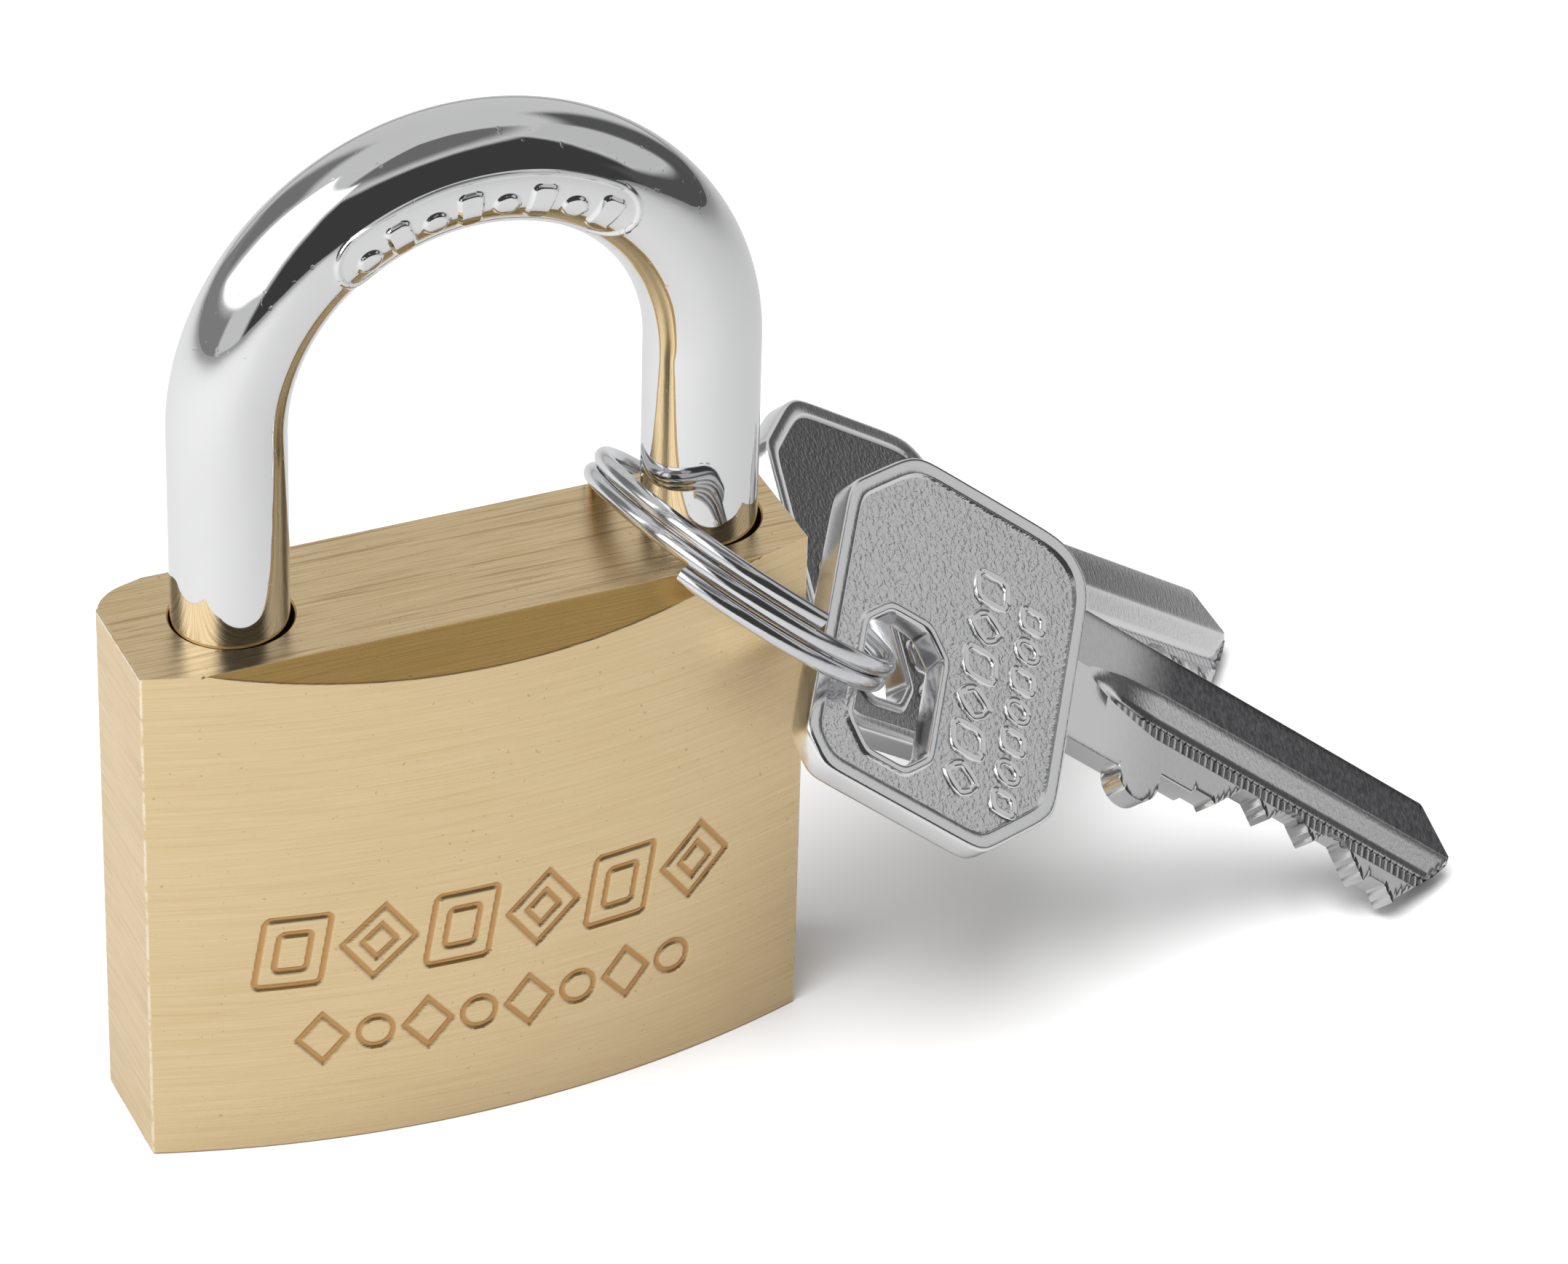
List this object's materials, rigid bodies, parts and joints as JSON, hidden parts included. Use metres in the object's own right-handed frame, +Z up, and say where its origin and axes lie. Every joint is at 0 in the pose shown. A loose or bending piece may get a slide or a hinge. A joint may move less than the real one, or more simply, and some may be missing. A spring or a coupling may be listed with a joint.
{
  "type": "padlock",
  "caption": "Solid-brass pin-tumbler padlock: chromed shackle that lifts, turning cylinder with sliding bolts, pins and springs, with a split ring and keys.",
  "frame": {"origin": "where the cylinder's axis, midway between the shackle's legs, meets the plane of the body's base", "axes": "+Z up along the cylinder and the legs, +X from the heel leg to the toe leg, +Y to the back"},
  "size_m": [0.1024, 0.0454, 0.0778],
  "materials": {
    "satin_brass": "brushed satin brass",
    "chrome_steel": "polished chrome on hardened steel",
    "turned_brass": "turned brass",
    "pin_brass": "turned brass",
    "zinc_steel": "zinc-plated steel",
    "spring_steel": "drawn spring wire",
    "ring_steel": "nickel-plated round spring wire",
    "nickel_key": "nickel-plated stamped key, grainy field and polished rims"
  },
  "bodies": {
    "lock": {"lock_body": "satin_brass", "heel_pin": "turned_brass", "plug_pin": "turned_brass", "bolt_bore_plug": "satin_brass", "shackle_spring": "spring_steel", "pin_spring_1": "spring_steel", "pin_spring_2": "spring_steel", "pin_spring_3": "spring_steel", "pin_spring_4": "spring_steel", "pin_spring_5": "spring_steel", "chamber_plug_1": "satin_brass", "chamber_plug_2": "satin_brass", "chamber_plug_3": "satin_brass", "chamber_plug_4": "satin_brass", "chamber_plug_5": "satin_brass"},
    "shackle": {"shackle": "chrome_steel"},
    "plug": {"plug": "turned_brass", "cam": "zinc_steel"},
    "bolt_left": {"bolt_left": "zinc_steel"},
    "bolt_right": {"bolt_right": "zinc_steel"},
    "ring": {"split_ring": "ring_steel"},
    "key_1": {"key_1": "nickel_key"},
    "key_2": {"key_2": "nickel_key"},
    "key_pin_1": {"key_pin_1": "pin_brass"},
    "driver_pin_1": {"driver_pin_1": "zinc_steel"},
    "key_pin_2": {"key_pin_2": "pin_brass"},
    "driver_pin_2": {"driver_pin_2": "zinc_steel"},
    "key_pin_3": {"key_pin_3": "pin_brass"},
    "driver_pin_3": {"driver_pin_3": "zinc_steel"},
    "key_pin_4": {"key_pin_4": "pin_brass"},
    "driver_pin_4": {"driver_pin_4": "zinc_steel"},
    "key_pin_5": {"key_pin_5": "pin_brass"},
    "driver_pin_5": {"driver_pin_5": "zinc_steel"}
  },
  "joints": [
    {"name": "plug_turn", "type": "hinge", "parent": "lock", "child": "plug", "pos_m": [0, 0, 0], "axis": [0, 0, 1], "range_deg": [-90, 0]},
    {"name": "bolt_right_slide", "type": "slide", "parent": "lock", "child": "bolt_right", "axis": [1, 0, 0], "range_m": [0, 0.0023]},
    {"name": "bolt_left_slide", "type": "slide", "parent": "lock", "child": "bolt_left", "axis": [-1, 0, 0], "range_m": [0, 0.0023]},
    {"name": "shackle_lift", "type": "slide", "parent": "lock", "child": "shackle", "axis": [0, 0, 1], "range_m": [0, 0.014], "deforming": ["shackle_spring"]},
    {"name": "key_pin_1_drop", "type": "slide", "parent": "plug", "child": "key_pin_1", "axis": [0, -1, 0], "range_m": [0, 0.004]},
    {"name": "key_pin_2_drop", "type": "slide", "parent": "plug", "child": "key_pin_2", "axis": [0, -1, 0], "range_m": [0, 0.0018]},
    {"name": "key_pin_3_drop", "type": "slide", "parent": "plug", "child": "key_pin_3", "axis": [0, -1, 0], "range_m": [0, 0.0014]},
    {"name": "key_pin_4_drop", "type": "slide", "parent": "plug", "child": "key_pin_4", "axis": [0, -1, 0], "range_m": [0, 0.0013]},
    {"name": "key_pin_5_drop", "type": "slide", "parent": "plug", "child": "key_pin_5", "axis": [0, -1, 0], "range_m": [0, 0.003]},
    {"name": "driver_pin_1_lift", "type": "slide", "parent": "lock", "child": "driver_pin_1", "axis": [1, 0, 0], "range_m": [0, 0.004], "deforming": ["pin_spring_1"]},
    {"name": "driver_pin_2_lift", "type": "slide", "parent": "lock", "child": "driver_pin_2", "axis": [1, 0, 0], "range_m": [0, 0.004], "deforming": ["pin_spring_2"]},
    {"name": "driver_pin_3_lift", "type": "slide", "parent": "lock", "child": "driver_pin_3", "axis": [1, 0, 0], "range_m": [0, 0.004], "deforming": ["pin_spring_3"]},
    {"name": "driver_pin_4_lift", "type": "slide", "parent": "lock", "child": "driver_pin_4", "axis": [1, 0, 0], "range_m": [0, 0.004], "deforming": ["pin_spring_4"]},
    {"name": "driver_pin_5_lift", "type": "slide", "parent": "lock", "child": "driver_pin_5", "axis": [1, 0, 0], "range_m": [0, 0.004], "deforming": ["pin_spring_5"]},
    {"name": "ring_tilt", "type": "hinge", "parent": "lock", "child": "ring", "pos_m": [0.01144, -0.00222, 0.04443], "axis": [0.1719, -0.9851, 0], "range_deg": [0, 25]},
    {"name": "key_1_swing", "type": "hinge", "parent": "ring", "child": "key_1", "pos_m": [0.02658, -0.01088, 0.03166], "axis": [0.8391, -0.3596, -0.4082], "range_deg": [0, 25]},
    {"name": "key_2_swing", "type": "hinge", "parent": "ring", "child": "key_2", "pos_m": [0.02972, 0.00406, 0.02854], "axis": [0.3456, -0.9246, -0.16], "range_deg": [0, 25]}
  ],
  "couplings": [
    {"joint": "bolt_right_slide", "follows": "plug_turn", "m_per_rad": -0.0014641},
    {"joint": "bolt_left_slide", "follows": "plug_turn", "m_per_rad": -0.0014641}
  ]
}
